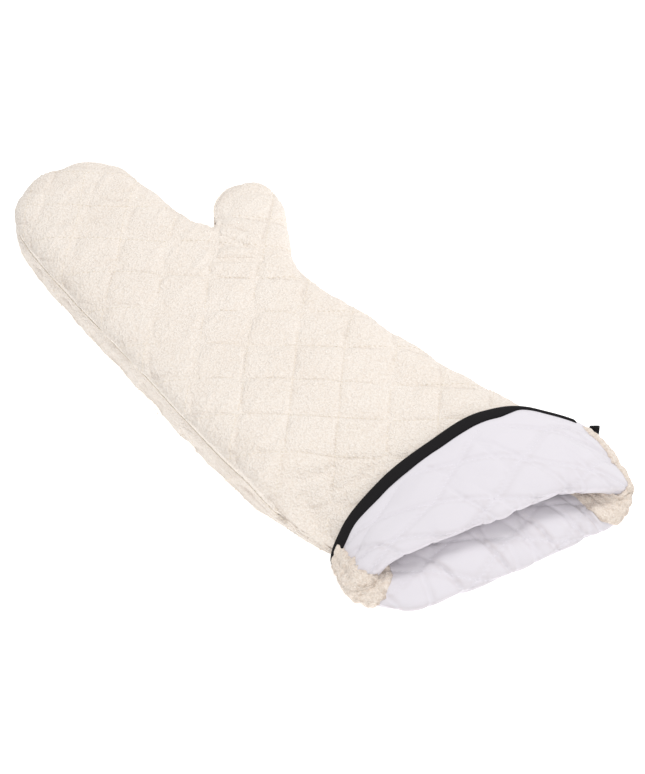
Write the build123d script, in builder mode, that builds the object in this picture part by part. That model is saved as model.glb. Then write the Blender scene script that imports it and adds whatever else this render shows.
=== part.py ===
"""Elbow-length quilted terry oven mitt with its cuff turned back, lying on its lower panel.

Millimetres. +Y runs from the cuff to the fingertips, +X to the thumb side, +Z up. The origin is
the middle of the mitt's box, on the surface it lies on.

Each panel is a sandwich: terry cloth outside, wadding in the middle, cotton lining inside. The
mitt is an upper and a lower panel sewn together round the edge. At the cuff both panels turn
outwards and lie back over the sleeve, so the lining is outermost there. Every layer is the space
between two nested forms, drawn in from the terry face (tube) or from the turned-back lining
(cuff_wall) by the layers over it.
"""

import os
from math import cos, radians, sin, tan

from build123d import *

# Layers of a panel
TERRY = 2.5
WADDING = 3.5
LINING = 0.6
LAMINATE = TERRY + WADDING + LINING

# Hand and gauntlet
POUCH_HEIGHT = 44.0
POUCH_ROUNDING = 20.0
SEAM_HEIGHT = 24.0
GAUNTLET_LEFT = -114.0
GAUNTLET_RIGHT = 88.0
POUCH_END = -118.0
RUN_OUT = 30.0

# The sleeve inside the turned-back cuff: it leans to the left as it leaves the gauntlet
CUFF_TURN = 8.0
CUFF_START = (3.0, -172.0)
CUFF_WIDTH = 206.0
CUFF_HEIGHT = 44.0
FLAP_GAP = 1.6
CUFF_LENGTH = 85.4
FLAP_START = 30.0
FLAP_TURN = 12.0
MOUTH_TURN = 15.0
MOUTH_LEAN = 30.0
RIM_FLAT = 0.4

# Black binding on the cut edge of the cuff
BINDING = 0.9
BINDING_WIDTH = 9.0
BINDING_INNER = 0.7
BINDING_END = 1.2

# Quilting: one row of stitches every 1.5 inches, both ways, at 45 degrees to the length
QUILT_PITCH = 38.1
QUILT_ANGLE = 45.0
QUILT_SHIFT = (1.0, -11.5)
GROOVE_WIDTH = 3.0
GROOVE_DEPTH = 1.2
THREAD = 0.6

# Seam thread that joins the panels
SEAM_INSET = 0.8
SEAM_THREAD = 1.0

# Thumb fold: a line beside the hand, at seam height, and how far the thumb folds each way
FOLD_NEAR = (77.4, 62.0)
FOLD_FAR = (56.5, 190.0)
FOLD_LIMIT = 45.0
FOLD_GAP = 0.8

# Corners of the outline, thumb side on the right, each with its rounding
OUTLINE = [
    ((GAUNTLET_LEFT, POUCH_END - RUN_OUT), 0),
    ((GAUNTLET_LEFT, -60.0), 160),
    ((-80.0, 291.5), 69),
    ((39.0, 291.5), 50),
    ((41.0, 148.0), 9),
    ((86.0, 189.0), 23),
    ((123.7, 159.4), 24),
    ((65.0, 56.0), 50),
    ((GAUNTLET_RIGHT, -105.0), 120),
    ((GAUNTLET_RIGHT, POUCH_END - RUN_OUT), 0),
]

FLAP_RISE = FLAP_GAP + LAMINATE
CUFF_BOTTOM = BINDING + FLAP_RISE
WALL = 2 * LAMINATE + FLAP_GAP
POUCH_WIDTH = GAUNTLET_RIGHT - GAUNTLET_LEFT
POUCH_MIDDLE = (GAUNTLET_RIGHT + GAUNTLET_LEFT) / 2


def heading(turn):
    """Level direction out of the cuff, turned to the left of -Y."""
    return Vector(-sin(radians(turn)), -cos(radians(turn)), 0)


def across(turn):
    """Level direction to the thumb side, square to the heading."""
    return Vector(cos(radians(turn)), -sin(radians(turn)), 0)


def on_cuff(distance):
    """Point on the cuff's centre line, on the ground, this far past its start."""
    return Vector(*CUFF_START, 0) + heading(CUFF_TURN) * distance


POUCH_PLANE = Plane(origin=(POUCH_MIDDLE, POUCH_END, 0), x_dir=across(0), z_dir=heading(0))
CUFF_PLANE = Plane(origin=on_cuff(0), x_dir=across(CUFF_TURN), z_dir=heading(CUFF_TURN))
FLAP_PLANE = Plane(origin=on_cuff(FLAP_START), x_dir=across(FLAP_TURN), z_dir=heading(FLAP_TURN))
MOUTH_PLANE = Plane(
    origin=on_cuff(CUFF_LENGTH) + Vector(0, 0, CUFF_BOTTOM + CUFF_HEIGHT / 2),
    x_dir=across(MOUTH_TURN),
    z_dir=heading(MOUTH_TURN) * cos(radians(MOUTH_LEAN)) + Vector(0, 0, sin(radians(MOUTH_LEAN))),
)

FOLD_ALONG = Vector(*FOLD_FAR, 0) - Vector(*FOLD_NEAR, 0)
FOLD_PLANE = Plane(
    origin=(*FOLD_NEAR, SEAM_HEIGHT),
    x_dir=(0, 0, 1),
    z_dir=(FOLD_ALONG.Y, -FOLD_ALONG.X, 0),
)


def section(plane, width, height, bottom, inset):
    """Rounded section of the sleeve, standing on a plane, drawn in by inset."""
    rounding = POUCH_ROUNDING - inset
    with BuildSketch(plane) as outline:
        with Locations((0, bottom + height / 2)):
            RectangleRounded(width - 2 * inset, height - 2 * inset, rounding)
    return outline.sketch


def cuff_section(inset):
    """Section of the sleeve where the cuff starts."""
    return section(CUFF_PLANE, CUFF_WIDTH, CUFF_HEIGHT, CUFF_BOTTOM, inset)


def pouch(inset):
    """Hand, thumb and gauntlet, drawn in by inset from the terry face."""
    corners = [corner for corner, rounding in OUTLINE]
    roundings = [rounding for corner, rounding in OUTLINE]
    with BuildPart() as body:
        with BuildSketch(Plane.XY.offset(inset)):
            with BuildLine():
                FilletPolyline(*corners, radius=roundings, close=True)
            make_face()
            if inset > 0:
                offset(amount=-inset)
        extrude(amount=POUCH_HEIGHT - 2 * inset)
        rims = body.faces().filter_by(Axis.Z).edges()
        sides = rims.filter_by(lambda edge: edge.center().Y > POUCH_END - RUN_OUT + inset + 1)
        fillet(sides, POUCH_ROUNDING - inset)
        split(bisect_by=Plane.XZ.offset(-POUCH_END), keep=Keep.BOTTOM)
    return body.part


def tube(inset):
    """The whole sleeve as far as the start of the turned-back flap, drawn in by inset."""
    with BuildPart() as body:
        add(pouch(inset))
        add(section(POUCH_PLANE, POUCH_WIDTH, POUCH_HEIGHT, 0, inset))
        add(cuff_section(inset))
        loft(ruled=True)
        extrude(cuff_section(inset), amount=CUFF_LENGTH, dir=CUFF_PLANE.z_dir)
        split(bisect_by=FLAP_PLANE, keep=Keep.BOTTOM)
    return body.part


def cuff_wall(inset):
    """Sleeve wall and flap joined by the rounded fold, drawn in by inset from the lining."""
    outer = inset - FLAP_RISE
    inner = LAMINATE - inset
    reach = CUFF_LENGTH + POUCH_HEIGHT
    with BuildPart() as body:
        extrude(cuff_section(outer), amount=reach, dir=CUFF_PLANE.z_dir)
        extrude(cuff_section(inner), amount=reach, dir=CUFF_PLANE.z_dir, mode=Mode.SUBTRACT)
        split(bisect_by=FLAP_PLANE, keep=Keep.TOP)
        split(bisect_by=MOUTH_PLANE.offset(-inset), keep=Keep.BOTTOM)
        rim = body.faces().filter_by(MOUTH_PLANE).edges()
        fillet(rim, (WALL - RIM_FLAT) / 2 - inset)
    return body.part


def layer(outside, inside):
    """One cloth layer of both panels, between two depths below the terry face."""
    with BuildPart() as body:
        add(tube(outside))
        add(tube(inside), mode=Mode.SUBTRACT)
    with BuildPart() as cuff:
        add(cuff_wall(LAMINATE - inside))
        add(cuff_wall(LAMINATE - outside), mode=Mode.SUBTRACT)
        add(body.part)
    return cuff.part


def binding_ring():
    """Binding folded over the flap's cut edge, all the way round."""
    reach = CUFF_LENGTH
    with BuildPart() as ring:
        outer = -FLAP_RISE - BINDING
        inner = BINDING_INNER - FLAP_GAP
        extrude(cuff_section(outer), amount=reach, dir=CUFF_PLANE.z_dir)
        extrude(cuff_section(inner), amount=reach, dir=CUFF_PLANE.z_dir, mode=Mode.SUBTRACT)
        split(bisect_by=FLAP_PLANE.offset(-BINDING_END), keep=Keep.TOP)
        split(bisect_by=FLAP_PLANE.offset(BINDING_WIDTH), keep=Keep.BOTTOM)
    with BuildPart() as flap:
        extrude(cuff_section(-FLAP_RISE), amount=reach, dir=CUFF_PLANE.z_dir)
        extrude(cuff_section(-FLAP_GAP), amount=reach, dir=CUFF_PLANE.z_dir, mode=Mode.SUBTRACT)
        split(bisect_by=FLAP_PLANE, keep=Keep.TOP)
    with BuildPart() as binding:
        add(ring.part)
        add(flap.part, mode=Mode.SUBTRACT)
    return binding.part


def quilting(base, height, width):
    """Rows of stitching in both directions over the flat of a panel, short of the thumb."""
    corners = [corner for corner, rounding in OUTLINE]
    roundings = [rounding for corner, rounding in OUTLINE]
    rows = 9
    row_length = 900.0
    with BuildPart() as stitches:
        with BuildSketch(Plane.XY.offset(base)):
            with Locations(QUILT_SHIFT):
                for angle in (QUILT_ANGLE, -QUILT_ANGLE):
                    with Locations(Location((0, 0, 0), (0, 0, angle))):
                        with GridLocations(QUILT_PITCH, 0, 2 * rows + 1, 1):
                            Rectangle(width, row_length)
            with BuildSketch(mode=Mode.PRIVATE) as flat:
                with BuildLine():
                    FilletPolyline(*corners, radius=roundings, close=True)
                make_face()
                offset(amount=-POUCH_ROUNDING - 1)
                split(bisect_by=Plane.XZ.offset(-POUCH_END), keep=Keep.BOTTOM)
            add(flat.sketch, mode=Mode.INTERSECT)
        extrude(amount=height)
        split(bisect_by=FOLD_PLANE, keep=Keep.BOTTOM)
    return stitches.part


def perimeter_thread():
    """Thread of the edge seam, just under the terry's edge, open at the cuff."""
    corners = [corner for corner, rounding in OUTLINE]
    roundings = [rounding for corner, rounding in OUTLINE]
    with BuildPart() as thread:
        with BuildSketch(Plane.XY.offset(SEAM_HEIGHT - SEAM_THREAD / 2)):
            with BuildLine():
                FilletPolyline(*corners, radius=roundings, close=True)
            make_face()
            offset(amount=-SEAM_INSET)
            with BuildSketch(mode=Mode.PRIVATE) as hole:
                with BuildLine():
                    FilletPolyline(*corners, radius=roundings, close=True)
                make_face()
                offset(amount=-SEAM_INSET - SEAM_THREAD)
            add(hole.sketch, mode=Mode.SUBTRACT)
        extrude(amount=SEAM_THREAD)
        split(bisect_by=Plane.XZ.offset(-POUCH_END), keep=Keep.BOTTOM)
    return thread.part


def fold_wedge():
    """Space left free at the thumb fold: a gap at the axis that widens above and below it."""
    reach = POUCH_HEIGHT
    spread = FOLD_GAP + reach * tan(radians(FOLD_LIMIT / 2 + 1))
    with BuildPart() as wedge:
        with BuildSketch(Plane(origin=FOLD_PLANE.origin, x_dir=(0, 0, 1), z_dir=FOLD_ALONG)):
            with BuildLine():
                Polyline(
                    (0, FOLD_GAP),
                    (reach, spread),
                    (reach, -spread),
                    (0, -FOLD_GAP),
                    (-reach, -spread),
                    (-reach, spread),
                    close=True,
                )
            make_face()
        extrude(amount=FOLD_ALONG.length)
    return wedge.part


def cut_into_panels(whole):
    """Upper and lower half of a layer, parted at the seam."""
    halves = []
    for keep in (Keep.TOP, Keep.BOTTOM):
        with BuildPart() as half:
            add(whole)
            split(bisect_by=Plane.XY.offset(SEAM_HEIGHT), keep=keep)
        halves.append(half.part)
    return halves


def less(whole, *cutters):
    """A part with other parts taken out of it."""
    with BuildPart() as body:
        add(whole)
        for cutter in cutters:
            add(cutter, mode=Mode.SUBTRACT)
    return body.part


def write(part, name):
    """Label a finished piece and write its STEP file."""
    part.label = name
    export_step(part, f"parts/{name}.step")
    print(name, len(part.solids()), "solids", round(part.volume / 1000, 2), "cm3")


def write_hand_and_thumb(part, name):
    """Write the two sides that the thumb fold parts a piece into."""
    for keep, ending in ((Keep.BOTTOM, ""), (Keep.TOP, "_thumb")):
        with BuildPart() as side:
            add(part)
            split(bisect_by=FOLD_PLANE, keep=keep)
        write(side.part, name + ending)


os.makedirs("parts", exist_ok=True)

wedge = fold_wedge()
upper_groove = quilting(POUCH_HEIGHT - GROOVE_DEPTH, GROOVE_DEPTH, GROOVE_WIDTH)
lower_groove = quilting(0, GROOVE_DEPTH, GROOVE_WIDTH)
upper_stitches = quilting(POUCH_HEIGHT - GROOVE_DEPTH, THREAD, THREAD)
lower_stitches = quilting(GROOVE_DEPTH - THREAD, THREAD, THREAD)
seam_thread = perimeter_thread()

# Terry cloth, outermost on the hand and innermost in the turned-back cuff
terry = layer(0, TERRY)
upper_terry, lower_terry = cut_into_panels(terry)
write_hand_and_thumb(less(upper_terry, wedge, upper_groove, seam_thread), "upper_terry_shell")
write_hand_and_thumb(less(lower_terry, wedge, lower_groove, seam_thread), "lower_terry_shell")

# Wadding
wadding = layer(TERRY, TERRY + WADDING)
upper_wadding, lower_wadding = cut_into_panels(wadding)
write_hand_and_thumb(less(upper_wadding, wedge), "upper_wadding")
write_hand_and_thumb(less(lower_wadding, wedge), "lower_wadding")

# Cotton lining
lining = layer(TERRY + WADDING, LAMINATE)
upper_lining, lower_lining = cut_into_panels(lining)
write_hand_and_thumb(less(upper_lining, wedge), "upper_lining")
write_hand_and_thumb(less(lower_lining, wedge), "lower_lining")

# Binding, one length on each panel
upper_binding, lower_binding = cut_into_panels(binding_ring())
write(upper_binding, "upper_cuff_binding")
write(lower_binding, "lower_cuff_binding")

# Threads
write(less(upper_stitches, wedge), "upper_quilting_thread")
write(less(lower_stitches, wedge), "lower_quilting_thread")
write_hand_and_thumb(less(seam_thread, wedge), "perimeter_seam_thread")
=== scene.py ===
import itertools
import math

import bpy
import numpy as np
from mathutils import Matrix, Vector, geometry


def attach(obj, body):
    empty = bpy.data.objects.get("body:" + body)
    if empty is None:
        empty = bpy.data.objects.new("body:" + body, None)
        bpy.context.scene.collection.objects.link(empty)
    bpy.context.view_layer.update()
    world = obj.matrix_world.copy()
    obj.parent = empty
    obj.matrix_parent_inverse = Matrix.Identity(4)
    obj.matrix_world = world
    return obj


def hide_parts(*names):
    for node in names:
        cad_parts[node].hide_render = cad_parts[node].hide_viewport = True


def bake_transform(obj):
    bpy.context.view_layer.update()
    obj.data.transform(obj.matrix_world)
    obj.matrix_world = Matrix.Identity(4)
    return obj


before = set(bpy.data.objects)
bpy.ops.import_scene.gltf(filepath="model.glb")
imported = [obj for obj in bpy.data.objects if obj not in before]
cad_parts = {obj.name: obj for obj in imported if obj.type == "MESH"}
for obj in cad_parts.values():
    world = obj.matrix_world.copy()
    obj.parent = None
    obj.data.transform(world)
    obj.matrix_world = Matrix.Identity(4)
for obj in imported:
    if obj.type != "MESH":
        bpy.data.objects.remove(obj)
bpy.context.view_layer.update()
MM = 0.001
print("frame:", len(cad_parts), "CAD nodes")

# %% [markdown]
# Cloth is never even, so most sizes below are shaken a little by a smooth noise. It could come from
# Blender's own noise, but this one works on whole arrays of points at once, and it is made from
# whole numbers, so it comes out the same on every run. The two curves keep given points smooth.
# %% Smooth noise and a curve through points
def lattice(i, seed):
    """A fixed random number from -1 to 1 at each whole-number point."""
    n = i[..., 0] * 73856093 ^ i[..., 1] * 19349663 ^ i[..., 2] * 83492791 ^ (seed + 1) * 2654435
    n = (n ^ (n >> 13)) * 1274126177 & 0x7FFFFFFF
    n = n ^ (n >> 16)
    return (n & 0xFFFF) / 32767.5 - 1.0


def noise(points, size, seed=0):
    """Smooth noise from -1 to 1. size is the distance between its features, in millimetres."""
    q = np.asarray(points, float) / np.asarray(size, float)
    if q.shape[-1] == 2:
        q = np.concatenate([q, np.zeros(q.shape[:-1] + (1,))], -1)
    i = np.floor(q).astype(np.int64)
    f = q - i
    f = f * f * (3 - 2 * f)
    total = np.zeros(q.shape[:-1])
    for corner in itertools.product((0, 1), repeat=3):
        weight = np.ones(q.shape[:-1])
        for k, c in enumerate(corner):
            weight = weight * (f[..., k] if c else 1 - f[..., k])
        total += weight * lattice(i + np.array(corner), seed)
    return total


def smooth(low, high, value):
    """0 below low, 1 above high, and an even S between them. low may be above high."""
    t = np.clip((np.asarray(value, float) - low) / (high - low), 0, 1)
    return t * t * (3 - 2 * t)


def spline(knots, values, at):
    """A smooth curve through values, which are given at knots."""
    k, v, at = np.asarray(knots, float), np.asarray(values, float), np.asarray(at, float)
    slope = np.empty_like(v)
    gap = np.diff(k).reshape((-1,) + (1,) * (v.ndim - 1))
    chord = np.diff(v, axis=0) / gap
    slope[1:-1] = (chord[:-1] * gap[1:] + chord[1:] * gap[:-1]) / (gap[1:] + gap[:-1])
    slope[0], slope[-1] = chord[0], chord[-1]
    j = np.clip(np.searchsorted(k, at, side="right") - 1, 0, len(k) - 2)
    h = k[j + 1] - k[j]
    t = ((at - k[j]) / h).reshape((-1,) + (1,) * (v.ndim - 1))
    h = h.reshape(t.shape)
    a = (1 + 2 * t) * (1 - t) ** 2 * v[j] + t * (1 - t) ** 2 * h * slope[j]
    b = t * t * (3 - 2 * t) * v[j + 1] + t * t * (t - 1) * h * slope[j + 1]
    return a + b


def through(points, step):
    """Points every step along a smooth curve through points."""
    p = np.asarray(points, float)
    k = np.r_[0, np.cumsum(np.linalg.norm(np.diff(p, axis=0), axis=1))]
    fine = spline(k, p, np.linspace(0, k[-1], int(k[-1] / step * 4)))
    s = np.r_[0, np.cumsum(np.linalg.norm(np.diff(fine, axis=0), axis=1))]
    at = np.linspace(0, s[-1], max(2, int(round(s[-1] / step)) + 1))
    return np.stack([np.interp(at, s, fine[:, i]) for i in range(fine.shape[1])], 1)


# %% [markdown]
# Seen from above, the mitt is a wide gauntlet that narrows to a palm, with a thumb at one side.
# These are points on its edge, close together only at the crotch of the thumb, where the seam turns
# sharply. The two long edges run on past the end of the cloth, so that the open end isn't rounded off
# like the sides.
# %% The shape seen from above
EDGE = [
    (-102, -330), (-102, -215), (-104, -180), (-110.5, -147.5), (-116.5, -113), (-116, -64.5),
    (-111, -1), (-106.4, 43), (-101.5, 97), (-96, 155), (-89.5, 209), (-84.5, 235), (-77.2, 256),
    (-66, 271.8), (-51.9, 282.8), (-35.3, 289.6), (-20, 291.6), (-6, 289.6), (9, 285),
    (24.4, 275), (34.5, 258), (38.6, 238), (38.9, 215), (38.9, 190), (39.4, 176), (40.6, 162),
    (42.6, 150), (45.4, 145.5), (48.4, 151.5), (57, 165), (73.5, 177.5), (88.7, 181), (101, 178.3),
    (111, 170), (116.2, 159),
    (115.8, 146), (109.5, 128), (98.5, 109.5), (84, 89), (74, 74), (69, 60.7), (67.4, 45),
    (67.9, 31.4), (71.8, -7.7), (78, -56.6), (84.8, -110.3), (90, -149.4), (98, -185),
    (105, -208), (106, -230), (106, -330),
]
EDGE_STEP = 2.0
edge = through(EDGE, EDGE_STEP)
print("edge of the mitt:", len(edge), "points,", round(EDGE_STEP * len(edge) / 1000, 2), "m long")


def end_of_sleeve(x):
    """How far down the cloth runs before it folds back, at each x."""
    return -228.0 - 0.28 * x


def inside_of(outline, x, margin):
    """Which points of x are inside an outline, and at least margin from its points."""
    inside = np.zeros(len(x), bool)
    near = np.full(len(x), 1e9)
    for p, q in zip(outline, np.roll(outline, -1, 0)):
        crosses = (p[1] > x[:, 1]) != (q[1] > x[:, 1])
        at = p[0] + (x[:, 1] - p[1]) / (q[1] - p[1] + 1e-12) * (q[0] - p[0])
        inside ^= crosses & (x[:, 0] < at)
        near = np.minimum(near, ((x - p) ** 2).sum(1))
    return inside & (near > margin**2)


def field(x):
    """How far each point is from the edge, and the direction away from it.

    Both are smooth everywhere. Close to the edge the distance is the true one.
    """
    distance, way = np.empty(len(x)), np.empty((len(x), 2))
    a, b = edge[:-1], edge[1:]
    ab = b - a
    middle = (a + b) / 2
    length = np.linalg.norm(ab, axis=1)
    for start in range(0, len(x), 4000):
        p = x[start : start + 4000]
        gap = p[:, None] - middle
        r2 = (gap**2).sum(-1) + 0.25
        total = (length * r2**-2.5).sum(1)
        soft = (4 / 3 / total) ** 0.25
        pull = (gap * (length * r2**-3.5)[..., None]).sum(1)
        pull *= (1.25 * soft / total)[:, None]
        t = np.clip(((p[:, None] - a) * ab).sum(-1) / length**2, 0, 1)
        away = p[:, None] - (a + t[..., None] * ab)
        far = np.linalg.norm(away, axis=-1)
        j = far.argmin(1)
        rows = np.arange(len(p))
        true = far[rows, j]
        normal = np.stack([ab[j, 1], -ab[j, 0]], 1) / length[j, None]
        mix = smooth(3.0, 9.0, true)
        distance[start : start + 4000] = true * (1 - mix) + soft * mix
        way[start : start + 4000] = normal * (1 - mix)[:, None] + pull * mix[:, None]
    return distance, way


# %% [markdown]
# Each half of the mitt is one quilted panel. From the side seam the panel bulges out, turns over
# and runs flat across the middle. The two tables are that turn for the panel on top and for the
# one below, as (distance in from the edge, height from the seam). A simulated cushion could find
# such a turn by itself; drawn as a table, it keeps the groove of the seam sharp all the way round.
# %% How a panel turns at the side seam
REACH = 44.0
STEPS = 80
PANEL_TOP, PANEL_BOTTOM = 20.0, 27.0  # how far the turn above rises, and the one below drops
TURN = {
    "upper": [(5, 0), (2.6, 3.5), (2.4, 8.5), (6, 14), (14, 18), (27, 19.7), (44, 20)],
    "lower": [(5, 0), (1.2, -4), (0, -10), (0.4, -17), (4, -23), (13, -26.2), (26, -27), (44, -27)],
}


def turn_of(side, inset):
    """The turn, moved inward by inset, as STEPS evenly spaced points, and its length."""
    p = through(TURN[side], 0.5)
    along = np.gradient(p, axis=0)
    along /= np.linalg.norm(along, axis=1)[:, None]
    inward = np.stack([along[:, 1], -along[:, 0]], 1)
    if side == "lower":
        inward = -inward
    q = p + inward * inset
    q[:, 0] = np.maximum(q[:, 0], 5 + inset * 0.5 - 2.5 * smooth(0, 8, np.abs(p[:, 1])) * (inset < 3))
    q[:, 0] = np.minimum(q[:, 0], REACH)
    s = np.r_[0, np.cumsum(np.linalg.norm(np.diff(p, axis=0), axis=1))]
    at = np.linspace(0, s[-1], STEPS)
    return np.stack([np.interp(at, s, q[:, 0]), np.interp(at, s, q[:, 1])], 1), s[-1]


SLEEVE_X = [-112, -101, -94, -79, -62, -37, -12, 18, 43, 66, 79, 92, 101, 107, 115]
SLEEVE_Z = [12, 14, 18, 27, 33.5, 41, 45.5, 50.5, 52.5, 51, 47, 40, 32, 26, 24]


def surface(x, side, inset=0.0):
    """Where the panel lies over the points x of the shape, in space and in the flat uncut cloth.

    The distance of each point from the edge comes between the two.
    """
    d, way = field(x)
    profile, arc = turn_of(side, inset)
    t = np.clip(d / REACH, 0, 1) * (STEPS - 1)
    j = np.minimum(t.astype(int), STEPS - 2)
    f = (t - j)[:, None]
    r, z = (profile[j] * (1 - f) + profile[j + 1] * f).T
    shift = np.where(d < REACH, r - d, 0.0)
    place = x + way * shift[:, None]
    thumb = smooth(58, 84, x[:, 0] + 0.163 * (x[:, 1] - 62) - 8) * smooth(40, 90, x[:, 1])
    down_sleeve = x[:, 1] + 0.2126 * x[:, 0]
    cuff = smooth(-108, -165, down_sleeve)
    tip = smooth(180, 290, x[:, 1])
    seam = 27.0 * (1 - cuff) + (15 + 11 * smooth(-100, 100, x[:, 0])) * cuff - 5 * tip - 3 * thumb
    seam = seam + 1.1 * noise(x, 47, 12) + 0.5 * noise(x, 17, 13)
    floor = 9.0 * cuff + 2.5 * thumb
    if side == "lower":
        height = seam + z / PANEL_BOTTOM * (seam - floor)
    else:
        top = 41.5 + 4.5 * smooth(90, -60, x[:, 1]) - 6 * thumb
        height = seam + z / PANEL_TOP * (top - seam)
        sleeve = np.interp(place[:, 0], SLEEVE_X, SLEEVE_Z) - inset
        sleeve = sleeve - 6.0 * smooth(-175, -235, down_sleeve)
        sleeve = seam + (np.maximum(sleeve, seam + 1) - seam) * smooth(0, 9, d)
        height = height * (1 - cuff) + sleeve * cuff
    unrolled = x - way * ((arc - REACH) * (1 - np.clip(d / REACH, 0, 1)))[:, None]
    return np.c_[place, height], d, unrolled


# %% [markdown]
# The flat shape is cut into small triangles once, and every layer of both panels uses them. The
# hidden layers need no more than these. The terry's outer face shows, so each triangle is cut into
# four for it. Triangles follow the curved edge better than a square grid would.
# %% Cut the flat shape into triangles
def flat_mesh(step):
    """Points and triangles that fill the shape, about step apart."""
    rim = through(edge[edge[:, 1] > end_of_sleeve(edge[:, 0])], step)
    count = int(np.linalg.norm(rim[0] - rim[-1]) / step)
    t = np.linspace(0, 1, count + 1)[1:-1, None]
    rim = np.r_[rim, rim[-1] * (1 - t) + rim[0] * t]
    low, high = rim.min(0), rim.max(0)
    rows = np.arange(low[1], high[1], step * 0.866)
    grid = []
    for n, y in enumerate(rows):
        x = np.arange(low[0] + (n % 2) * step / 2, high[0], step)
        grid.append(np.c_[x, np.full(len(x), y)])
    grid = np.concatenate(grid)
    points = np.r_[rim, grid[inside_of(rim, grid, 0.62 * step)]]
    n = len(rim)
    made = geometry.delaunay_2d_cdt(
        [Vector(p) for p in points], [(i, (i + 1) % n) for i in range(n)], [], 1, 1e-4
    )
    x = np.array([tuple(p) for p in made[0]])
    tri = np.array([f for f in made[2] if len(f) == 3])
    v = x[tri]
    area = np.cross(v[:, 1] - v[:, 0], v[:, 2] - v[:, 0])
    tri[area < 0] = tri[area < 0][:, ::-1]
    return x, tri


def halve(tri, count):
    """Each triangle cut into four: the pairs that the new points lie between, and the triangles."""
    pairs = np.sort(tri[:, [0, 1, 1, 2, 2, 0]].reshape(-1, 2), 1)
    unique, back = np.unique(pairs, axis=0, return_inverse=True)
    m = back.reshape(-1, 3) + count
    a, b, c = tri.T
    ab, bc, ca = m.T
    fine = np.concatenate([np.c_[a, ab, ca], np.c_[ab, b, bc], np.c_[ca, bc, c], np.c_[ab, bc, ca]])
    return unique, fine


def open_edges(tri):
    """The edges that only one triangle has, in that triangle's direction."""
    e = tri[:, [0, 1, 1, 2, 2, 0]].reshape(-1, 2)
    _, back, count = np.unique(np.sort(e, 1), axis=0, return_inverse=True, return_counts=True)
    return e[count[back.ravel()] == 1]


coarse_x, coarse_tri = flat_mesh(3.1)
middles, fine_tri = halve(coarse_tri, len(coarse_x))
fine_x = np.r_[coarse_x, coarse_x[middles].mean(1)]
print("flat shape:", len(coarse_tri), "triangles, then", len(fine_tri))


# %% [markdown]
# Quilting is stitched in the flat cloth before the mitt is sewn up: two sets of straight lines at
# 45 degrees, one and a half inches apart. Between them the wadding pushes the cloth up. Towards the
# fingertips the cloth was laid a few degrees askew, so the lines turn there.
# %% The quilted squares
PITCH = 38.1
QUILT_AT = (1.0, -11.5)
QUILT_DEPTH = 2.8
ASKEW = math.radians(8)
ASKEW_ABOUT = np.array([-10.0, 130.0])
WANDER = 1.1


def quilt_axes(x):
    """The two coordinates across the quilting lines, which wander a little."""
    turn = ASKEW * smooth(40, 235, x[:, 1])
    q = x - ASKEW_ABOUT
    c, s = np.cos(turn), np.sin(turn)
    p = np.c_[q[:, 0] * c - q[:, 1] * s, q[:, 0] * s + q[:, 1] * c]
    p = p + ASKEW_ABOUT - np.array(QUILT_AT)
    u = (p[:, 0] + p[:, 1]) / math.sqrt(2) + WANDER * noise(x, 31, 3)
    v = (p[:, 1] - p[:, 0]) / math.sqrt(2) + WANDER * noise(x, 37, 4)
    return u, v


def puff(x):
    """0 on a quilting line and up to 1 in the middle of a square."""
    u, v = quilt_axes(x)
    a = np.sqrt(np.sin(np.pi * u / PITCH) ** 2 + 0.002)
    b = np.sqrt(np.sin(np.pi * v / PITCH) ** 2 + 0.002)
    high = 0.55 * (1 - np.exp(-5.5 * a * b / (0.35 * (a + b) + 0.1))) + 0.45 * (a * b) ** 0.7
    cell = np.c_[np.floor(u / PITCH), np.floor(v / PITCH)]
    return high * (0.88 + 0.16 * noise(cell * 7.3, 1.0, 9))


print("quilting: pitch", PITCH, "mm, depth", QUILT_DEPTH, "mm")

# %% [markdown]
# Two kinds of closed shape come up again and again: a slab, which is a grid with an upper and a lower
# face, and a tube, which is a row of rings with a cap at each end. Their faces are listed here once.
# Every mesh also keeps, at each point, how far it lies in a hollow. The finishes use that number to
# paint shade into the cloth's colour along a stitched line or a crease, where shade falls.
# %% From points to mesh objects
def normals_of(points, tri):
    """A smooth normal at every point."""
    v = points[tri]
    n = np.cross(v[:, 1] - v[:, 0], v[:, 2] - v[:, 0])
    total = np.zeros_like(points)
    for k in range(3):
        np.add.at(total, tri[:, k], n)
    return total / np.maximum(np.linalg.norm(total, axis=1), 1e-9)[:, None]


def slab_faces(rows, columns):
    """Faces of a grid of points whose lower face has the same points again, after the upper ones."""
    n = rows * columns
    grid = np.arange(n).reshape(rows, columns)
    quads = np.stack([grid[:-1, :-1], grid[:-1, 1:], grid[1:, 1:], grid[1:, :-1]], -1).reshape(-1, 4)
    rim = np.r_[grid[0, :], grid[1:, -1], grid[-1, -2::-1], grid[-2:0:-1, 0]]
    faces = [tuple(q) for q in quads] + [tuple(q[::-1] + n) for q in quads]
    return faces + [(f, e, e + n, f + n) for e, f in zip(rim, np.roll(rim, -1))]


def tube_faces(rings, around, inside_out=False):
    """Faces of a row of rings of points, with a cap at each end."""
    grid = np.arange(rings * around).reshape(rings, around)
    nxt = np.roll(grid, -1, 1)
    faces = np.stack([grid[:-1], nxt[:-1], nxt[1:], grid[1:]], -1).reshape(-1, 4)
    faces = [tuple(f) for f in faces] + [tuple(grid[0, ::-1]), tuple(grid[-1])]
    return [f[::-1] for f in faces] if inside_out else faces


def joined(*skins):
    """Several skins as one."""
    points, faces, count = [], [], 0
    for p, f in skins:
        points.append(p)
        faces += [tuple(i + count for i in face) for face in f]
        count += len(p)
    return np.concatenate(points), faces


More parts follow.
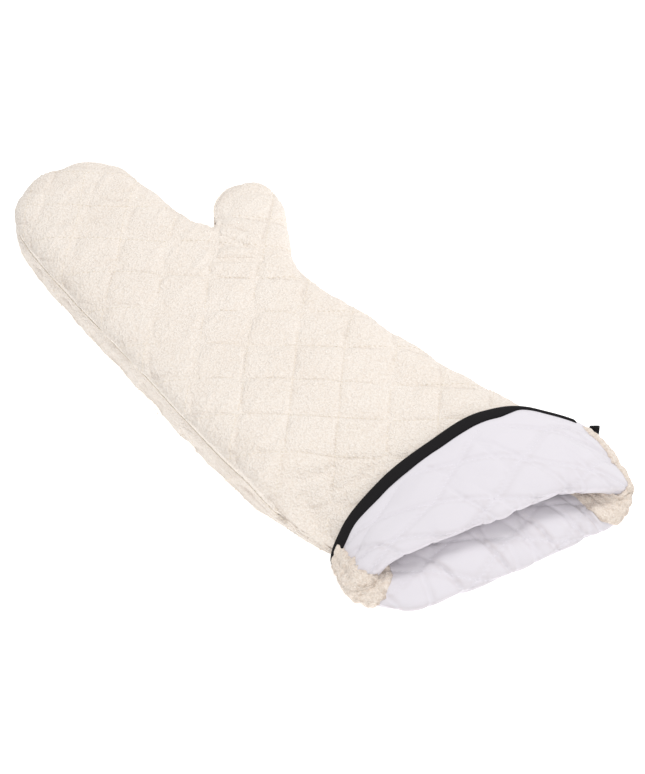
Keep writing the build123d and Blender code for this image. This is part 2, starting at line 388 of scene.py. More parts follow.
def hollows(mesh):
    """How far each point lies below the points round it, in millimetres, softened once."""
    n = len(mesh.vertices)
    p, out = np.empty(3 * n), np.empty(3 * n)
    ends = np.empty(2 * len(mesh.edges), dtype=np.int32)
    mesh.vertices.foreach_get("co", p)
    mesh.vertices.foreach_get("normal", out)
    mesh.edges.foreach_get("vertices", ends)
    p, out, ends = p.reshape(-1, 3) / MM, out.reshape(-1, 3), ends.reshape(-1, 2)
    a, b = np.r_[ends[:, 0], ends[:, 1]], np.r_[ends[:, 1], ends[:, 0]]
    count = np.maximum(np.bincount(a, minlength=n), 1)
    mean = np.stack([np.bincount(a, p[b, k], n) / count for k in range(3)], 1)
    below = np.clip(np.sum((mean - p) * out, axis=1), 0, 1)
    return 0.5 * below + 0.5 * np.bincount(a, below[b], n) / count


def mesh_object(name, points, faces, material):
    """A smooth-shaded mesh object, from millimetres."""
    mesh = bpy.data.meshes.new(name)
    mesh.from_pydata((np.asarray(points) * MM).tolist(), [], [list(map(int, f)) for f in faces])
    mesh.validate()
    mesh.polygons.foreach_set("use_smooth", np.ones(len(mesh.polygons), bool))
    # The hollow depth drives the shade that the finishes paint into the cloth's colour.
    mesh.attributes.new("hollow", "FLOAT", "POINT").data.foreach_set("value", hollows(mesh))
    mesh.materials.append(material)
    obj = bpy.data.objects.new(name, mesh)
    bpy.context.scene.collection.objects.link(obj)
    return obj


print("a slab of 3 by 4 points has", len(slab_faces(3, 4)), "faces")

# %% [markdown]
# The turned-back cuff is a loop of all the layers. It starts at the bound edge on the outside, comes
# forward, rolls over the rim and goes back into the sleeve. Each row below is one ring round it,
# from the left side over the top to the right side, and back underneath. Any place on the cuff then
# has two coordinates, along the loop and around the ring, and every layer is made from those.
# %% The rings of the turned-back cuff
RINGS = {
    "bound edge": [
        (-108, -179, 13), (-91, -170, 28), (-50, -164.3, 45), (0, -165.7, 56), (50, -172, 60.5),
        (90, -189, 49.5), (122, -220, 24), (94, -229, 6), (50, -222, 2), (0, -212, 1.5),
        (-50, -201, 1.5), (-91, -191, 3.5),
    ],
    "behind the edge": [
        (-111, -188, 13), (-92, -181, 31.5), (-50, -180, 47), (0, -184, 57.5), (50, -192, 60.5),
        (92, -208, 48), (121, -234, 21), (94, -243, 4), (50, -236, 1.2), (0, -227, 1),
        (-50, -216, 1), (-94, -203, 2.5),
    ],
    "middle": [
        (-114.5, -197, 13.5), (-93, -194, 34), (-51, -199, 48.5), (0, -205, 57), (51, -214, 57.5),
        (93, -228, 45), (117.5, -252, 19.5), (93, -260, 1.8), (50, -254, 0.8), (0, -246, 0.8),
        (-50, -234, 0.8), (-97, -216, 1.6),
    ],
    "top of the roll": [
        (-117, -206, 14), (-94, -207, 35.5), (-52, -219.5, 48), (0, -234, 54), (50, -246.5, 53),
        (92, -260, 40.5), (112.5, -267, 18), (91, -277, 2.2), (49, -273, 1.2), (-1, -265, 1.2),
        (-51, -252, 1.2), (-98, -231, 2.2),
    ],
    "front": [
        (-117, -214, 15), (-92, -217, 32), (-50, -232, 41.5), (0, -247.5, 46), (50, -259.5, 44.5),
        (89, -272, 32), (107, -277.5, 17), (88, -286, 10.5), (48, -283, 11), (-2, -274.5, 11.5),
        (-52, -262, 11.5), (-98, -243, 10.5),
    ],
    "mouth": [
        (-103, -216, 16), (-85, -215, 25), (-48, -225, 32), (0, -240, 35.5), (48, -252, 35),
        (80, -264, 26), (94, -271, 18), (82, -270, 18.5), (48, -266, 25), (0, -256, 26.5),
        (-48, -243, 25.5), (-87, -227, 19.5),
    ],
    "inside": [
        (-92, -188, 16), (-80, -188, 20), (-48, -194, 29.5), (0, -204, 36), (46, -214, 37),
        (76, -224, 29), (90, -236, 22), (76, -236, 17.5), (46, -230, 27.5), (0, -220, 29),
        (-48, -208, 25), (-80, -196, 16),
    ],
    "deep": [
        (-90, -135, 15), (-78, -140, 19), (-48, -140, 30), (0, -145, 38), (46, -150, 41),
        (72, -150, 36), (84, -155, 24), (72, -155, 16.5), (46, -155, 16), (0, -150, 16), (-48, -145, 15),
        (-78, -142, 13),
    ],
}
rings = np.array(list(RINGS.values()), float)
RING_NAMES = list(RINGS)
along_knots = np.r_[0, np.cumsum(np.linalg.norm(np.diff(rings, axis=0), axis=2).mean(1))]
closed = np.concatenate([rings, rings[:, :1]], 1)
round_knots = np.r_[0, np.cumsum(np.linalg.norm(np.diff(closed, axis=1), axis=2).mean(0))]
GIRTH = round_knots[-1]
HALF = round_knots[6]
FLAP_END = along_knots[RING_NAMES.index("mouth")]
print("cuff: girth", round(GIRTH), "mm, edge to deep", round(along_knots[-1]), "mm")


def cuff_point(along, around):
    """A point on the lining's face, along from the bound edge and around from the left side."""
    padded = np.concatenate([rings[:, -3:], rings, rings[:, :4]], 1)
    knots = np.concatenate([round_knots[9:12] - GIRTH, round_knots[:12], round_knots[:4] + GIRTH])
    around = np.mod(around, GIRTH)
    across = spline(knots, padded.transpose(1, 0, 2), around)
    j = np.clip(np.searchsorted(along_knots, along, side="right") - 1, 0, len(along_knots) - 2)
    k = along_knots
    n = len(k)
    rows = np.arange(len(around))

    def at(i):
        return across[rows, np.clip(i, 0, n - 1)]

    h = (k[j + 1] - k[j])[:, None]
    t = ((along - k[j]) / h[:, 0])[:, None]

    def slope(i):
        lo, hi = np.clip(i - 1, 0, n - 1), np.clip(i + 1, 0, n - 1)
        return (at(hi) - at(lo)) / (k[hi] - k[lo])[:, None]

    a = (1 + 2 * t) * (1 - t) ** 2 * at(j) + t * (1 - t) ** 2 * h * slope(j)
    b = t * t * (3 - 2 * t) * at(j + 1) + t * t * (t - 1) * h * slope(j + 1)
    return a + b


def cuff_frame(along, around):
    """A point on the cuff, and the direction out of the cloth there."""
    step = 1.0
    p = cuff_point(along, around)
    da = cuff_point(np.minimum(along + step, along_knots[-1]), around)
    da = da - cuff_point(np.maximum(along - step, 0), around)
    dr = cuff_point(along, around + step) - cuff_point(along, around - step)
    out = np.cross(dr, da)
    out = -out / np.maximum(np.linalg.norm(out, axis=1), 1e-9)[:, None]
    return p, out


# %% [markdown]
# Finishes. The cloths share a few effects, and each effect is one group of nodes that is made once:
# the loops of terry, a plain weave, and a slow change of shade across the cloth. Terry is woven with
# slack warp threads that stand up as loops, so it is small round cells bent out of line. A plain
# weave is two crossed waves. Pictures of cloth would do too, but these stay sharp at any distance.
# %% Shared effects as node groups
def node_group(name, inputs, outputs):
    """An empty group with inputs {name: value} and outputs {name: kind}."""
    tree = bpy.data.node_groups.new(name, "ShaderNodeTree")
    for key, value in inputs.items():
        kind = "NodeSocketColor" if isinstance(value, tuple) else "NodeSocketFloat"
        tree.interface.new_socket(key, in_out="INPUT", socket_type=kind).default_value = value
    for key, kind in outputs.items():
        tree.interface.new_socket(key, in_out="OUTPUT", socket_type=kind)
    return tree, tree.nodes.new("NodeGroupInput"), tree.nodes.new("NodeGroupOutput")


def add(tree, kind, links=(), **settings):
    """A node with its settings, and its inputs set to numbers or joined to sockets."""
    node = tree.nodes.new(kind)
    for key, value in settings.items():
        setattr(node, key, value)
    for key, value in dict(links).items():
        if isinstance(value, bpy.types.NodeSocket):
            tree.links.new(value, node.inputs[key])
        else:
            node.inputs[key].default_value = value
    return node


def terry_group():
    """Height and shade of a towel's loops, size metres across."""
    tree, start, end = node_group(
        "terry_loops", {"Size": 0.0016}, {"Height": "NodeSocketFloat", "Shade": "NodeSocketFloat"}
    )
    where = add(tree, "ShaderNodeTexCoord").outputs["Object"]
    scale = add(tree, "ShaderNodeMath", {0: 1.0, 1: start.outputs["Size"]}, operation="DIVIDE").outputs[0]
    warp = add(tree, "ShaderNodeTexNoise", {"Vector": where, "Scale": 420.0, "Detail": 2.0})
    bend = (0.0011, 0.0011, 0.0011)
    bent = add(tree, "ShaderNodeVectorMath", {0: warp.outputs["Color"], 1: bend}, operation="MULTIPLY")
    moved = add(tree, "ShaderNodeVectorMath", {0: where, 1: bent.outputs[0]}, operation="ADD").outputs[0]
    loops = add(tree, "ShaderNodeTexVoronoi", {"Vector": moved, "Scale": scale}, feature="SMOOTH_F1")
    clumps = add(tree, "ShaderNodeTexNoise", {"Vector": where, "Scale": 520.0, "Detail": 3.0})
    clumps.inputs["Roughness"].default_value = 0.6
    far = loops.outputs["Distance"]
    flip = add(tree, "ShaderNodeMapRange", {"Value": far, 1: 0.0, 2: 0.75, 3: 1.0, 4: 0.0}).outputs[0]
    both = add(tree, "ShaderNodeMath", {0: clumps.outputs["Fac"], 1: 0.7, 2: flip}, operation="MULTIPLY_ADD")
    tree.links.new(both.outputs[0], end.inputs["Height"])
    shade = add(tree, "ShaderNodeMapRange", {"Value": both.outputs[0], 1: 0.5, 2: 1.15, 3: 0.0, 4: 1.0})
    tree.links.new(shade.outputs[0], end.inputs["Shade"])
    return tree


def weave_group():
    """Height of a plain weave with threads pitch metres apart."""
    tree, start, end = node_group("plain_weave", {"Pitch": 0.0005}, {"Height": "NodeSocketFloat"})
    where = add(tree, "ShaderNodeTexCoord").outputs["Object"]
    scale = add(tree, "ShaderNodeMath", {0: 3.1416, 1: start.outputs["Pitch"]}, operation="DIVIDE").outputs[0]
    part = add(tree, "ShaderNodeSeparateXYZ", {0: where})
    wave = []
    for axis in ("X", "Y"):
        turn = add(tree, "ShaderNodeMath", {0: part.outputs[axis], 1: scale}, operation="MULTIPLY").outputs[0]
        sine = add(tree, "ShaderNodeMath", {0: turn}, operation="SINE").outputs[0]
        wave.append(add(tree, "ShaderNodeMath", {0: sine}, operation="ABSOLUTE").outputs[0])
    high = add(tree, "ShaderNodeMath", {0: wave[0], 1: wave[1]}, operation="MAXIMUM").outputs[0]
    slub = add(tree, "ShaderNodeTexNoise", {"Vector": where, "Scale": 600.0, "Detail": 2.0})
    both = add(tree, "ShaderNodeMath", {0: slub.outputs["Fac"], 1: 0.8, 2: high}, operation="MULTIPLY_ADD")
    tree.links.new(both.outputs[0], end.inputs["Height"])
    return tree


def shade_group():
    """A colour that drifts slowly between two shades."""
    tree, start, end = node_group(
        "slow_shade", {"Light": (0.9, 0.9, 0.9, 1.0), "Deep": (0.8, 0.8, 0.8, 1.0), "Mask": 0.5},
        {"Color": "NodeSocketColor"},
    )
    where = add(tree, "ShaderNodeTexCoord").outputs["Object"]
    slow = add(tree, "ShaderNodeTexNoise", {"Vector": where, "Scale": 26.0, "Detail": 2.0})
    half = add(tree, "ShaderNodeMath", {0: slow.outputs["Fac"], 1: 0.5}, operation="MULTIPLY").outputs[0]
    fac = add(tree, "ShaderNodeMath", {0: start.outputs["Mask"], 1: 0.75, 2: half}, operation="MULTIPLY_ADD")
    fac.use_clamp = True
    mix = add(tree, "ShaderNodeMix", data_type="RGBA")
    tree.links.new(fac.outputs[0], mix.inputs[0])
    tree.links.new(start.outputs["Deep"], mix.inputs[6])
    tree.links.new(start.outputs["Light"], mix.inputs[7])
    tree.links.new(mix.outputs[2], end.inputs["Color"])
    return tree


TERRY_LOOPS, PLAIN_WEAVE, SLOW_SHADE = terry_group(), weave_group(), shade_group()
print("effects:", TERRY_LOOPS.name, PLAIN_WEAVE.name, SLOW_SHADE.name)

# %% [markdown]
# The materials are all cotton or polyester cloth, so one function makes them: two shades, loops or a
# weave for the grain, a little sheen, and painted shade in the hollows. The body is undyed terry and
# the lining bleached cotton. The seam strips are the same terry cut open, so they look a little
# browner. The binding is nearly black and has no sheen, which keeps it crisp against the white.
# %% Materials
# Painted shade: this colour is multiplied into the cloth in its hollows, along stitched lines and creases.
PAINTED_HOLLOW_SHADE = (0.66, 0.60, 0.56, 1.0)
HOLLOW_FROM, HOLLOW_TO = 0.06, 0.42  # millimetres below the points round it


def cloth_material(
    name, light, deep, loops=None, weave=None, bump=0.5, depth=0.001, rough=0.95, sheen=0.3, painted_shade=0.0
):
    """A cloth finish in two shades, light and deep.

    loops or weave is the size of its grain in metres, bump and depth are how strongly the grain
    stands up, and the last setting is how much shade is painted into its hollows, up to 1.
    """
    mat = bpy.data.materials.new(name)
    mat.use_nodes = True
    tree = mat.node_tree
    tree.nodes.clear()
    end = tree.nodes.new("ShaderNodeOutputMaterial")
    main = add(tree, "ShaderNodeBsdfPrincipled", {"Roughness": rough, "Specular IOR Level": 0.12})
    main.inputs["Sheen Weight"].default_value = sheen
    main.inputs["Sheen Roughness"].default_value = 0.6
    grain = tree.nodes.new("ShaderNodeGroup")
    if loops:
        grain.node_tree = TERRY_LOOPS
        grain.inputs["Size"].default_value = loops
        mask = grain.outputs["Shade"]
    else:
        grain.node_tree = PLAIN_WEAVE
        grain.inputs["Pitch"].default_value = weave
        mask = grain.outputs["Height"]
    shade = tree.nodes.new("ShaderNodeGroup")
    shade.node_tree = SLOW_SHADE
    shade.inputs["Light"].default_value = light + (1.0,)
    shade.inputs["Deep"].default_value = deep + (1.0,)
    tree.links.new(mask, shade.inputs["Mask"])
    # Painted shade: the deeper a point lies in a hollow, the darker its colour is painted.
    hollow = add(tree, "ShaderNodeAttribute", attribute_name="hollow").outputs["Fac"]
    span = {"Value": hollow, 1: HOLLOW_FROM, 2: HOLLOW_TO, 3: 0.0, 4: painted_shade}
    depth_of = add(tree, "ShaderNodeMapRange", span)
    painted_shade_mix = add(tree, "ShaderNodeMix", data_type="RGBA", blend_type="MULTIPLY")
    painted_shade_mix.inputs[7].default_value = PAINTED_HOLLOW_SHADE
    tree.links.new(depth_of.outputs[0], painted_shade_mix.inputs[0])
    tree.links.new(shade.outputs[0], painted_shade_mix.inputs[6])
    tree.links.new(painted_shade_mix.outputs[2], main.inputs["Base Color"])
    height = grain.outputs["Height"]
    relief = add(tree, "ShaderNodeBump", {"Strength": bump, "Distance": depth, "Height": height})
    tree.links.new(relief.outputs[0], main.inputs["Normal"])
    tree.links.new(main.outputs[0], end.inputs["Surface"])
    return mat


# The last setting of the terry, seam terry and cotton finishes is how much shade is painted into their
# hollows.
TERRY = cloth_material(
    "natural_terry", (0.885, 0.818, 0.752), (0.765, 0.672, 0.585),
    loops=0.0014, bump=0.6, depth=0.0012, painted_shade=0.55,
)
CUT_TERRY = cloth_material(
    "seam_terry", (0.86, 0.775, 0.695), (0.70, 0.59, 0.495), loops=0.0014, bump=0.7, depth=0.0012, painted_shade=0.8
)
COTTON = cloth_material(
    "white_cotton", (0.715, 0.685, 0.725), (0.64, 0.605, 0.655),
    weave=0.0006, bump=0.12, depth=0.0003, painted_shade=0.6,
)
TAPE = cloth_material(
    "black_tape", (0.013, 0.012, 0.013), (0.004, 0.004, 0.005),
    weave=0.0009, depth=0.0004, rough=0.9, sheen=0.0,
)
FLEECE = cloth_material("white_wadding", (0.85, 0.84, 0.82), (0.7, 0.69, 0.66), loops=0.004, depth=0.002)
YARN = cloth_material(
    "sewing_thread", (0.83, 0.75, 0.64), (0.7, 0.6, 0.5), weave=0.0004, bump=0.3, depth=0.0002
)
WHITE_YARN = cloth_material(
    "white_sewing_thread", (0.8, 0.77, 0.82), (0.66, 0.63, 0.68), weave=0.0004, bump=0.3, depth=0.0002
)
print("materials:", [m.name for m in (TERRY, CUT_TERRY, COTTON, TAPE, FLEECE, YARN, WHITE_YARN)])

# %% [markdown]
# Every layer of a panel is a closed skin: an outer face, an inner face and a rim that joins them.
# The outer terry face is the one that shows, so it has the fine triangles, and its quilting, folds
# and unevenness are real shape. Creases gather where the thumb leaves the hand and beside the cuff,
# because the cloth is squeezed there, so those are laid out one by one.
# %% Skins made from the flat shape
INNER_END = -112  # the inner layers of the hand stop here, where the cuff's own layers take over


def coarse_skin(side, outer, inner):
    """A layer from depth outer to depth inner, on the coarse triangles above the turned-back cuff."""
    tri = coarse_tri[coarse_x[coarse_tri][:, :, 1].mean(1) > INNER_END]
    used, back = np.unique(tri, return_inverse=True)
    tri = back.reshape(-1, 3)
    x = coarse_x[used]
    a, _, _ = surface(x, side, outer)
    b, _, _ = surface(x, side, inner)
    n = len(x)
    if side == "lower":
        tri = tri[:, ::-1]
    border = open_edges(tri)
    faces = [tuple(t) for t in tri] + [tuple(t[::-1] + n) for t in tri]
    faces += [(e[1], e[0], e[0] + n, e[1] + n) for e in border]
    return np.r_[a, b], faces


TERRY_THICK = 2.5


def terry_relief(p, d, flat):
    """How far the terry's outer face is raised at each point, in millimetres."""
    near_seam = smooth(1.0, 12.0, d)
    total = QUILT_DEPTH * (puff(flat) - 1.0) * near_seam
    total += 0.9 * noise(flat, 44, 21) * near_seam
    total += 1.1 * noise(flat, 21, 24) * smooth(1, 5, d) * smooth(30, 8, d)
    total += 0.35 * noise(p, 9, 22) * near_seam + 0.22 * noise(p, 3.2, 23)
    return total + drag(flat) * near_seam + wrinkles(p)


def terry_skin(side):
    """The terry of one panel, with its quilting and its unevenness on the outer face."""
    p, d, flat = surface(fine_x, side)
    tri = fine_tri if side == "upper" else fine_tri[:, ::-1]
    out = normals_of(p, tri)
    p = p + out * terry_relief(p, d, flat)[:, None]
    inner_tri = coarse_tri[:, ::-1] if side == "upper" else coarse_tri
    q, _, _ = surface(coarse_x, side, TERRY_THICK)
    n, m = len(p), len(coarse_x)
    faces = [tuple(t) for t in tri] + [tuple(t + n) for t in inner_tri]
    border = open_edges(inner_tri)
    middle = {tuple(pair): k + m for k, pair in enumerate(middles.tolist())}
    for a, b in border:
        c = middle[(min(a, b), max(a, b))]
        faces += [(b + n, a + n, c), (a + n, a, c), (c, b, b + n)]
    return np.r_[p, q], faces


def drag(flat):
    """Shallow folds that run across the mitt where the cloth is pulled between the quilting lines."""
    across = np.c_[flat[:, 0] + 0.35 * flat[:, 1], flat[:, 1] - 0.35 * flat[:, 0]]
    ridge = 1 - np.abs(noise(across, (46, 12), 61))
    where = 0.35 + 0.65 * smooth(-0.2, 0.5, noise(flat, 75, 62))
    return 0.9 * where * (ridge**3 - 0.4)


def fold(p, start, end, width, depth):
    """A soft crease along the line from start to end, in plan."""
    a, b = np.array(start, float), np.array(end, float)
    t = np.clip(((p[:, :2] - a) @ (b - a)) / ((b - a) @ (b - a)), 0, 1)
    far = np.linalg.norm(p[:, :2] - (a + t[:, None] * (b - a)), axis=1)
    fade = np.sin(np.pi * np.clip(t * 0.9 + 0.05, 0, 1)) ** 0.5
    return -1.9 * depth * np.exp(-((far / width) ** 2)) * fade


FOLDS = [  # start, end, width, depth
    ((46, 149), (37, 131), 2.6, 2.0), ((38, 133), (17, 109), 2.4, 1.7), ((15, 109), (45, 83), 2.5, 2.4),
    ((36, 131), (46, 101), 2.4, 1.3), ((46, 140), (60, 112), 2.6, 1.0),
    ((-112, -122), (-84, -146), 3.2, 1.7), ((-106, -140), (-70, -150), 3.0, 1.3),
    ((-94, -112), (-58, -128), 4.0, 1.0), ((-66, -142), (-20, -150), 3.4, 1.0),
]


def wrinkles(p):
    """The creases at the root of the thumb and beside the cuff."""
    total = np.zeros(len(p))
    for line in FOLDS:
        total += fold(p, *line)
    return total


print("creases laid out one by one:", len(FOLDS))

# %% [markdown]
# The layers of the cuff are stacked under the lining's face, which is the one that shows there.
# Near the bound edge they are pressed together by the binding. The fold has pulled the quilting's
# squares into long diamonds. The lining and the wadding under it both dip along the stitched lines,
# and at the rim the lining has more cloth than it needs, so it gathers into short pinches.
# %% Skins made from the rings of the cuff
FLAP_PITCH = 29.5
FLAP_SLANT = 0.384  # how far along a stitched line goes for each millimetre around
FLAP_LINES = (70, -21)  # where a line of each set starts, along the left side


def pressed(along):
    """The share of their thickness that the layers keep."""
    return 0.62 + 0.38 * smooth(1, 13, along)


def flap_shake(side, along):
    """How far the flap's quilting lines are out of place, around and along."""
    place = np.c_[side, along]
    return 2.0 * noise(place, 34, 51), 1.5 * noise(place, 29, 52)


def flap_puff(along, around):
    """0 on the flap's quilting lines and up to 1 between them."""
    side = np.abs(np.where(around <= HALF, around, GIRTH - around))
    dr, da = flap_shake(side, along)
    r, a = FLAP_SLANT * (side + dr), along + da
    u = np.sqrt(np.sin(np.pi * (a + r - FLAP_LINES[0]) / FLAP_PITCH) ** 2 + 0.003)
    v = np.sqrt(np.sin(np.pi * (a - r - FLAP_LINES[1]) / FLAP_PITCH) ** 2 + 0.003)
    return 0.6 * (1 - np.exp(-6.0 * u * v / (0.35 * (u + v) + 0.1))) + 0.4 * (u * v) ** 0.7


DEEPEST = -2.2  # so that the lining never dips through the wadding


def lining_relief(p, along, around):
    """Quilting, pinches and creases on the lining's face, in millimetres."""
    high = flap_puff(along, around)
    show = smooth(6, 20, along) * (1 - 0.25 * smooth(-10, 10, along - FLAP_END))
    total = show * (1.0 + 3.1 * (high - 1) + 0.7 * noise(np.c_[p[:, 0], along], 24, 32))
    rim = np.exp(-(((along - FLAP_END + 2) / 17) ** 2))
    q = np.c_[p[:, 0] + 0.25 * along, along * 0.16]
    crease = 1 - np.abs(noise(q, 13, 31))
    total -= 3.6 * rim * crease**8 * (0.6 + 0.4 * noise(q, 30, 34))
    crease = 1 - np.abs(noise(np.c_[p[:, 0] - 0.5 * along, along * 0.3], 17, 35))
    total -= 1.3 * smooth(8, 20, along) * smooth(150, 110, along) * crease**7
    total += 0.5 * rim * noise(np.c_[p[:, 0], along * 0.5], 8, 36)
    total += 0.25 * show * noise(np.c_[p[:, 0] * 0.5 + along, along * 0.6], 7, 33)
    return np.maximum(total, DEEPEST)


def cuff_skin(half, top, bottom, reach, step, relief=None, both=False):
    """A layer of the cuff from depth top to depth bottom, reach millimetres from the bound edge.

    relief is added to its upper face, and to both faces of a thin cloth.
    """
    low, high = (0.0, HALF) if half == "upper" else (HALF, GIRTH)
    rows, columns = int(reach / step) + 1, int((high - low) / step) + 1
    along, around = np.meshgrid(np.linspace(0, reach, rows), np.linspace(low, high, columns), indexing="ij")
    along, around = along.ravel(), around.ravel()
    p, out = cuff_frame(along, around)
    lift = -top * pressed(along)
    under = lift - (bottom - top) * pressed(along)
    if relief is not None:
        rise = relief(p, along, around)
        lift = lift + rise
        under = under + rise if both else under
    return np.r_[p + out * lift[:, None], p + out * under[:, None]], slab_faces(rows, columns)


print("flap: from the bound edge to the mouth", round(FLAP_END), "mm")


def over_the_thumb(obj, *nodes):
    """The piece keeps its place as it is made and stands for these parts of the mitt, which are hidden."""
    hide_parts(*nodes)
    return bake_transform(obj)


def on_the_hand(obj, *nodes):
    """The piece goes with the hand and stands for these parts of the mitt."""
    if nodes:
        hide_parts(*nodes)
    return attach(obj, "hand")


# %% [markdown]
# The terry: a towelling panel on each side, running from the fingertips to the bound edge. It goes
# under the turned-back flap, folds at the rim and comes back along the flap's underside. It could be
# swelled up by a cloth simulation. It is shaped by measure instead, because the quilting lines, the
# groove of the seam and the crotch of the thumb have to come out sharp and in the right places.
# %% Terry panels
for side in ("upper", "lower"):
    under = cuff_skin(side, 4.1, 6.6, FLAP_END - 8, 4.0)
    piece = mesh_object(side + "_terry_panel", *joined(terry_skin(side), under), TERRY)
    over_the_thumb(piece, side + "_terry_shell", side + "_terry_shell_thumb")
    print(piece.name, len(piece.data.polygons), "faces")

# %% [markdown]
# The wadding: a soft white batt between terry and lining, which keeps the heat off and fills the
# puffs of the quilting. Nothing of it shows, so it has only its thickness and its place, and on the
# flap the same dips as the lining, so that it stays under it.
# %% Wadding
for side in ("upper", "lower"):
    hand = coarse_skin(side, 4.6, 6.4)
    flap = cuff_skin(side, 1.7, 4.05, FLAP_END + 20, 2.0, lining_relief)
    piece = mesh_object(side + "_wadding_batt", *joined(hand, flap), FLEECE)
    over_the_thumb(piece, side + "_wadding", side + "_wadding_thumb")
    print(piece.name, len(piece.data.polygons), "faces")

# %% [markdown]
# The lining: thin white cotton inside the mitt. The cuff turns it outward, so its quilting and the
# pinches at the rim show. It is a cut sheet of the mitt's own outline, folded back at the rim, and it
# is made finely on the cuff and coarsely in the hand, where nobody looks.
# %% Lining
for side in ("upper", "lower"):
    hand = coarse_skin(side, 6.6, 7.2)
    flap = cuff_skin(side, 0.0, 0.6, along_knots[-1], 1.5, lining_relief, both=True)
    piece = mesh_object(side + "_lining_cloth", *joined(hand, flap), COTTON)
    over_the_thumb(piece, side + "_lining", side + "_lining_thumb")
    print(piece.name, len(piece.data.polygons), "faces")

# %% [markdown]
# The binding: black tape folded over the cut edge of the cuff, one length for each half. Its section
# is drawn once, outside face and then inside face, as (along the cuff, out of the cloth), and carried
# round the edge. The end of the lower length was left long, and stands up folded beside the cuff.
# %% Binding
TAPE_OUT = [
    (8.6, 0.75), (6, 1.15), (3, 1.25), (0.2, 1.05), (-1.5, 0.1), (-2.1, -2.0), (-1.6, -4.2), (0, -5.0),
    (3.5, -5.5), (8.4, -5.9),
]
TAPE_IN = [
    (8.4, -5.1), (3.5, -4.7), (0.2, -4.2), (-0.8, -3.6), (-1.2, -2.0), (-0.7, -0.5), (0.4, 0.2),
    (3, 0.4), (6, 0.3), (8.5, -0.05),
]


def binding(low, high, narrow):
    """Tape along the bound edge from low to high round the cuff. narrow(place) scales its width."""
    around = np.linspace(low, high, int((high - low) / 2) + 1)
    section = np.array(TAPE_OUT + TAPE_IN)
    rows = []
    for r in around:
        ripple = 0.35 * noise(np.array([[r, 0.0]]), 11, 41)[0]
        a = np.where(section[:, 0] > 0, section[:, 0] * narrow(r), section[:, 0])
        a = a + ripple * (section[:, 0] > 2)
        p, out = cuff_frame(np.zeros(1), np.array([r]))
        q, _ = cuff_frame(np.full(1, 4.0), np.array([r]))
        along = (q - p) / np.linalg.norm(q - p)
        rows.append(p + along * a[:, None] + out * section[:, 1:2])
    points = np.array(rows)
    return points.reshape(-1, 3), tube_faces(*points.shape[:2], inside_out=True)


upper_tape = binding(-4, HALF - 14, lambda r: 1.16 - 0.7 * smooth(HALF - 66, HALF - 42, r))
piece = mesh_object("upper_cuff_tape", *upper_tape, TAPE)
on_the_hand(piece, "upper_cuff_binding")
print(piece.name, len(piece.data.polygons), "faces")
TAIL = through([(116, -219, 9), (121.5, -220, 16), (125, -219, 22), (127.5, -217, 27.5)], 1.5)


def tail():
    """The free end of the lower tape, folded over and standing up beside the cuff."""
    way = np.gradient(TAIL, axis=0)
    way /= np.linalg.norm(way, axis=1)[:, None]
    wide = np.cross(way, [0.45, 0.75, 0.3])
    wide /= np.linalg.norm(wide, axis=1)[:, None]
    thick = np.cross(wide, way)
    turn = np.linspace(0, 2 * np.pi, 16, endpoint=False)
    c, s = np.cos(turn), np.sin(turn)
    shape = np.stack([np.sign(c) * np.abs(c) ** 0.6 * 4.2, np.sign(s) * np.abs(s) ** 0.6 * 1.5], 1)
    points = TAIL[:, None] + wide[:, None] * shape[None, :, :1] + thick[:, None] * shape[None, :, 1:]
    return points.reshape(-1, 3), tube_faces(*points.shape[:2])


piece = mesh_object("lower_cuff_tape", *joined(binding(HALF - 5, GIRTH - 4, lambda r: 1.0), tail()), TAPE)
on_the_hand(piece, "lower_cuff_binding")
print(piece.name, len(piece.data.polygons), "faces")

# %% [markdown]
# Where the two panels meet, the seam's spare cloth is inside the mitt. Turned back, it comes out as
# a strip of terry round each end of the cuff, with frayed edges and the rows of stitches that hold it.
# It lies on the lining like a plaster, so it is a slab in the cuff's own coordinates that follows the
# lining's dips. Its edges are shaken sideways for the fraying, which is cheaper than loose threads.
# %% Seam strips
STITCH_ROWS = (-0.6, -0.22, 0.16, 0.54)  # across the strip, from -1 to 1


def seam_strip(centre, start, stop, width, seed):
    """A strip of terry on the lining. centre and width give its place round the cuff at each along."""
    rows, columns = int(stop - start) + 1, 41
    along, across = np.meshgrid(np.linspace(start, stop, rows), np.linspace(-1, 1, columns), indexing="ij")
    along, across = along.ravel(), across.ravel()
    fray = 1 + 0.09 * noise(np.c_[along, np.sign(across) * 50], 3.0, seed)
    fray = fray + 0.05 * noise(np.c_[along, across * 9], 9.0, seed + 1)
    around = centre(along) + across * width(along) / 2 * np.where(np.abs(across) > 0.8, fray, 1.0)
    p, out = cuff_frame(along, around)
    body = (1 - np.abs(across) ** 6) * smooth(start, start + 3, along)
    lift = 0.4 + 2.5 * body**0.5 + 0.5 * noise(p, 4.0, seed + 2) + 0.3 * noise(p, 1.8, seed + 3)
    for row in STITCH_ROWS:
        lift = lift - 1.2 * np.exp(-(((across - row + 0.05 * noise(p, 9, seed + 5)) / 0.08) ** 2))
    follow = lining_relief(p, along, around)
    points = np.r_[p + out * (lift + follow)[:, None], p + out * (0.05 + follow)[:, None]]
    return points, slab_faces(rows, columns)


left = seam_strip(
    lambda a: -7.0 * smooth(70, 95, a), 4.0, 112.0, lambda a: 31 + 5 * smooth(70, 95, a), 61
)
right = seam_strip(
    lambda a: HALF + 1 + 14 * smooth(45, 75, a), 4.0, 112.0, lambda a: 25 + 24 * smooth(45, 75, a), 71
)
left = mesh_object("left_seam_strip", *left, CUT_TERRY)
right = mesh_object("right_seam_strip", *right, CUT_TERRY)
for strip in (left, right):
    on_the_hand(strip)
    print(strip.name, len(strip.data.polygons), "faces")

# %% [markdown]
# Stitches. Each one is a short loop of thread pulled into the cloth, so it is made as a small bead,
# longer than it is wide. A plain curve of thread would look like wire; beads with gaps between them
# read as sewing. They are set on the terry's own raised surface, along two sets of straight lines.
# They don't follow the turn of the grooves near the fingertips, where hardly any thread shows.
# %% Stitches
STITCH_EVERY = 3.6


